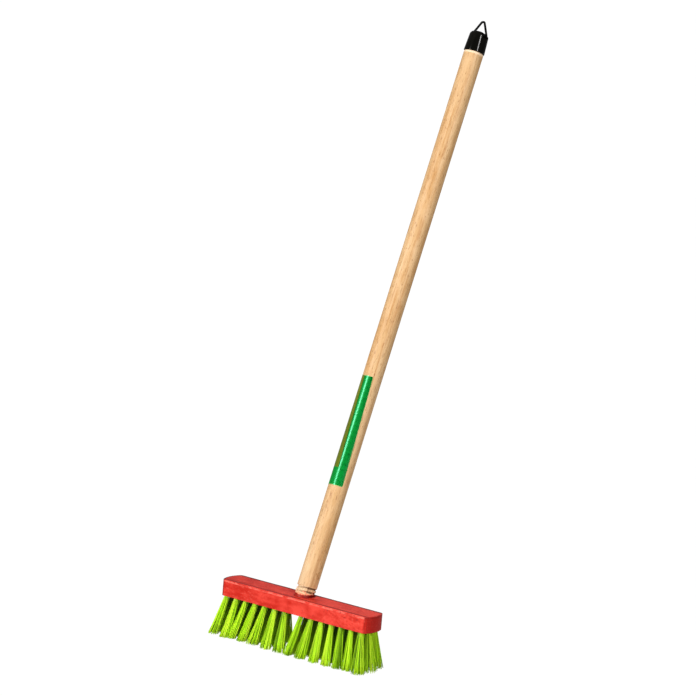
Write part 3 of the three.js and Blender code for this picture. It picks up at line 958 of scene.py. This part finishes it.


# a ragged screw groove, deeper on the shady side, with a crack, splits and a worn waist; painted shade
# darkens the groove and cracks, most on the shady side
def cutThread(v, layers, angle, toRight, aboveTorn):
    s = handleShape
    w = handleWear
    x, y, z = v.co
    shade = 0.5 + 0.5 * math.cos(angle - w["shadySide"])
    ragged = unevenAt("ragged", x, y, z)
    phase = (z / s["pitch"] - angle / math.tau + unevenAt("phase", x, y, z)) % 1.0
    offGroove = min(phase, 1 - phase) * s["pitch"] / s["groove"]
    cut = max(0.0, 1 - offGroove * offGroove) ** 0.5 * (w["cutLit"] + (1 - w["cutLit"]) * shade)
    offCrack = angle - w["crack"] - unevenAt("crackLine", x, y, z)
    crack = math.exp(-(offCrack / w["crackWidth"]) ** 2) * unevenAt("crackDepth", w["crackPlace"], 0, z)
    crack = max(0.0, crack) + max(0.0, unevenAt("splits", x, y, z) - w["splitFrom"])
    waist = w["waist"] * max(0.0, -toRight) * clamp(aboveTorn / w["waistSoft"])
    across = Vector((x, y, 0))
    across.length -= s["groove"] * min(w["deepest"], cut * ragged + w["crackDepth"] * crack) + waist
    v.co.x, v.co.y = across.x, across.y
    inShade, everywhere, inCracks = w["grooveShade"]
    dark = inShade * cut * ragged * shade + everywhere * cut * cut + inCracks * crack
    v[layers["groove"]] = min(1.0, dark)
    v[layers["rim"]] = w["threadRim"] * max(0.0, 1 - cut - crack)


def makeHandle():
    s = handleShape
    bm = bmesh.new()
    spinProfile(bm, handleProfile(), s["sides"])
    layers = {name: bm.verts.layers.float.new(name) for name in handleMarks}
    for v in bm.verts:
        angle = math.atan2(v.co.y, v.co.x)
        toRight = math.sin(angle - handleWear["seenSide"])
        aboveTorn = markHandle(v, layers, toRight)
        if v.co.z <= s["threadTop"] and v.co.xy.length >= s["core"]:
            cutThread(v, layers, angle, toRight, aboveTorn)
    bmesh.ops.transform(bm, matrix=stickFrame, verts=bm.verts[:])
    mesh = meshFrom(bm, "handleStick", s["sharpAngle"])
    return placePiece("handleStick", mesh, woodMaterial, "broom", ["handle"])


makeHandle()
print("handle made")


# label: a film with round corners, cut flat, then bent round the stick a little askew
labelShape = {
    "length": 0.124, "foot": 0.122, "angle": math.radians(130), "turn": math.radians(-105.5),
    "skew": math.radians(19), "gap": 0.00012, "thickness": 0.0003, "corner": 0.0022, "cornerSteps": 6,
    "columns": 36, "rows": 20, "sharpAngle": 50,
}


def makeLabel():
    s = labelShape
    inside = handleShape["radius"] + s["gap"]
    width = inside * s["angle"]
    bm = bmesh.new()
    sheet = Matrix.Diagonal((width, s["length"], 1, 1))
    bmesh.ops.create_grid(bm, x_segments=1, y_segments=1, size=0.5, matrix=sheet)
    roundOff(bm, bm.verts[:], s["corner"], s["cornerSteps"], affect="VERTICES")
    for axis, extent, cuts in ((0, width, s["columns"]), (1, s["length"], s["rows"])):
        normal = Vector((0, 0, 0))
        normal[axis] = 1
        for i in range(1, cuts):
            whole = bm.verts[:] + bm.edges[:] + bm.faces[:]
            bmesh.ops.bisect_plane(bm, geom=whole, dist=limits["merge"],
                                   plane_co=normal * extent * (i / cuts - 0.5), plane_no=normal)
    bmesh.ops.recalc_face_normals(bm, faces=bm.faces[:])
    if sum(f.normal.z for f in bm.faces) < 0:
        bmesh.ops.reverse_faces(bm, faces=bm.faces[:])
    uv = bm.loops.layers.uv.new("label")
    for face in bm.faces:
        for loop in face.loops:
            loop[uv].uv = (loop.vert.co.x / width + 0.5, loop.vert.co.y / s["length"] + 0.5)
    for v in bm.verts:
        angle = s["turn"] + v.co.x / inside - s["skew"] * v.co.y / s["length"]
        height = s["foot"] + s["length"] / 2 + v.co.y
        v.co = Vector((inside * math.cos(angle), inside * math.sin(angle), height))
    bmesh.ops.solidify(bm, geom=bm.faces[:], thickness=-s["thickness"])
    bmesh.ops.transform(bm, matrix=stickFrame, verts=bm.verts[:])
    mesh = meshFrom(bm, "handleLabel", s["sharpAngle"])
    return placePiece("handleLabel", mesh, labelMaterial, "broom", ["label"])


makeLabel()
print("label made")


# end cap: tapered sleeve with a round shoulder, two notches for the loop and a cross bore for its wire
capShape = {
    "mouth": 0.6224, "mouthRadius": 0.01174, "mouthRound": 0.0005, "mouthSteps": 4, "top": 0.6456,
    "shoulderRadius": 0.01074, "shoulderRound": 0.0046, "shoulderSteps": 14, "boreRadius": 0.0093,
    "boreTop": 0.6381, "sides": 80, "bridge": 0.00508, "notch": 0.0066, "notchReach": 0.01,
    "notchHeight": 0.02, "notchRound": 0.0009, "notchSteps": 4, "wireBore": 0.0016,
    "wireBoreLength": 0.03, "wireBoreSides": 24, "sharpAngle": 35,
}


def capBody():
    s = capShape
    mouthCentre = (s["mouthRadius"] - s["mouthRound"], s["mouth"] + s["mouthRound"])
    shoulderCentre = (s["shoulderRadius"] - s["shoulderRound"], s["top"] - s["shoulderRound"])
    profile = [(0, s["boreTop"]), (s["boreRadius"], s["boreTop"]), (s["boreRadius"], s["mouth"])]
    profile += quarterRound(*mouthCentre, s["mouthRound"], -90, s["mouthSteps"])
    profile += quarterRound(*shoulderCentre, s["shoulderRound"], 0, s["shoulderSteps"])
    profile += [(0, s["top"])]
    bm = bmesh.new()
    spinProfile(bm, profile, s["sides"])
    return meshFrom(bm, "endCap")


def capNotches():
    s = capShape
    bm = bmesh.new()
    size = Matrix.Diagonal((s["notchReach"], 2 * s["notch"], s["notchHeight"], 1))
    middleX = s["bridge"] + s["notchReach"] / 2
    middleZ = pivot.z - s["wireBore"] + s["notchHeight"] / 2
    for side in (-1, 1):
        bmesh.ops.create_cube(bm, size=1.0, matrix=Matrix.Translation((side * middleX, 0, middleZ)) @ size)
    lengthwise = [e for e in bm.edges if abs(edgeVector(e).x) > s["notchReach"] / 2]
    roundOff(bm, lengthwise, s["notchRound"], s["notchSteps"])
    return meshFrom(bm, "notches")


def makeCap():
    s = capShape
    mesh = cutAway(capBody(), capNotches())
    bm = bmesh.new()
    crosswise = Matrix.Translation((0, 0, pivot.z)) @ Matrix.Rotation(math.pi / 2, 4, "Y")
    addRod(bm, s["wireBore"], s["wireBoreLength"], s["wireBoreSides"], crosswise)
    mesh = cutAway(mesh, meshFrom(bm, "wireBore"))
    mesh.transform(stickFrame)
    shadeSmooth(mesh, s["sharpAngle"])
    return placePiece("endCap", mesh, plasticMaterial, "broom", ["end_cap"])


makeCap()
print("cap made")


# hanging loop: one bent wire, its ends meeting inside the cap
loopShape = {
    "wire": 0.00127, "wireSteps": 3, "halfWidth": 0.0104, "peak": 0.01985, "apexRadius": 0.0024,
    "cornerRadius": 0.0018, "bendSteps": 9, "endGap": 0.001, "sharpAngle": 60,
}


# the wire's line: straight runs with a round bend at each corner
def loopPoints():
    s = loopShape
    ends = [Vector((s["endGap"] / 2, 0, 0)), Vector((-s["endGap"] / 2, 0, 0))]
    corners = [Vector((s["halfWidth"], 0, 0)), Vector((0, 0, s["peak"])), Vector((-s["halfWidth"], 0, 0))]
    radii = [s["cornerRadius"], s["apexRadius"], s["cornerRadius"]]
    line = [ends[0], *corners, ends[1]]
    points = [ends[0]]
    for before, corner, after, radius in zip(line, corners, line[2:], radii):
        back = (before - corner).normalized()
        ahead = (after - corner).normalized()
        half = back.angle(ahead) / 2
        setback = radius / math.tan(half)
        centre = corner + (back + ahead).normalized() * radius / math.sin(half)
        first = corner + back * setback - centre
        last = corner + ahead * setback - centre
        for i in range(s["bendSteps"] + 1):
            points.append(centre + first.slerp(last, i / s["bendSteps"]).normalized() * radius)
    points.append(ends[1])
    return points


def makeLoop():
    curve = bpy.data.curves.new("hangingLoop", "CURVE")
    curve.dimensions = "3D"
    curve.bevel_depth = loopShape["wire"]
    curve.bevel_resolution = loopShape["wireSteps"]
    curve.use_fill_caps = True
    spline = curve.splines.new("POLY")
    points = loopPoints()
    spline.points.add(len(points) - 1)
    for item, point in zip(spline.points, points):
        item.co = (*(stickFrame @ (point + Vector((0, 0, pivot.z)))), 1)
    bent = bpy.data.objects.new("bentWire", curve)
    scene.collection.objects.link(bent)
    mesh = evaluatedMesh(bent)
    bpy.data.objects.remove(bent)
    bm = bmesh.new()
    bm.from_mesh(mesh)
    mesh = meshFrom(bm, "hangingLoop", loopShape["sharpAngle"])
    return placePiece("hangingLoop", mesh, coatingMaterial, "hanger", ["hanging_loop"])


makeLoop()
print("loop made")


for name, node in frame["nodes"].items():
    if name.startswith("staple_"):
        node.material_slots[0].material = stapleMaterial
print("staples finished")


# white floor that glows, so that it shows no shadow, under soft studio light
studio = {
    "white": (1, 1, 1, 1), "floor": (0.02, 0.02, 0.02, 1), "floorRough": 0.9, "floorShine": 0.1,
    "floorGlow": 1.0, "floorReach": 60, "world": 0.3,
}
# an even key from the front, light from above and from the right: direction, strength and spread
suns = {
    "keyLight": ((0.134, 0.957, -0.259), 3.2, 7),
    "topLight": ((0.05, -0.2, -0.98), 1.45, 40),
    "fillLight": ((-0.882, 0.393, -0.259), 1.62, 30),
}
# strips for the shine on label and cap: place, aim, size and power
shines = {
    "labelLight": ((-0.99, -2.525, 1.59), (0, -0.04, 0.234), (0.5, 0.36), 150),
    "capLight": ((1.676, -0.636, 1.48), (0, 0.122, 0.654), (0.2, 0.9), 60),
}


def makeFloor():
    bm = bmesh.new()
    bmesh.ops.create_grid(bm, x_segments=1, y_segments=1, size=studio["floorReach"])
    mesh = bpy.data.meshes.new("studioFloor")
    bm.to_mesh(mesh)
    bm.free()
    floor = bpy.data.objects.new("studioFloor", mesh)
    scene.collection.objects.link(floor)
    material, tree, shader = newMaterial("studioFloor")
    shader.inputs["Base Color"].default_value = studio["floor"]
    shader.inputs["Roughness"].default_value = studio["floorRough"]
    shader.inputs["Specular IOR Level"].default_value = studio["floorShine"]
    shader.inputs["Emission Color"].default_value = studio["white"]
    shader.inputs["Emission Strength"].default_value = studio["floorGlow"]
    mesh.materials.append(material)
    floor.visible_diffuse = False  # the floor is seen, but throws no light back up
    floor.visible_glossy = False


# a lamp that only shows as a reflection
def addShine(name, place, aim, size, power):
    data = bpy.data.lights.new(name, "AREA")
    data.shape = "RECTANGLE"
    data.size, data.size_y = size
    data.energy = power
    lamp = bpy.data.objects.new(name, data)
    lamp.location = place
    lamp.rotation_euler = (Vector(aim) - Vector(place)).to_track_quat("-Z", "Y").to_euler()
    lamp.visible_diffuse = False
    scene.collection.objects.link(lamp)


# a lamp that lights without a reflection
def addSun(name, towards, strength, spread):
    data = bpy.data.lights.new(name, "SUN")
    data.energy = strength
    data.angle = math.radians(spread)
    lamp = bpy.data.objects.new(name, data)
    lamp.rotation_euler = Vector(towards).to_track_quat("-Z", "Y").to_euler()
    lamp.visible_glossy = False
    scene.collection.objects.link(lamp)


makeFloor()
world = bpy.data.worlds.new("studioWorld")
world.use_nodes = True
world.node_tree.nodes["Background"].inputs["Color"].default_value = studio["white"]
world.node_tree.nodes["Background"].inputs["Strength"].default_value = studio["world"]
scene.world = world
for name, sun in suns.items():
    addSun(name, *sun)
for name, shine in shines.items():
    addShine(name, *shine)
scene.view_settings.view_transform = "Standard"
print("studio set")
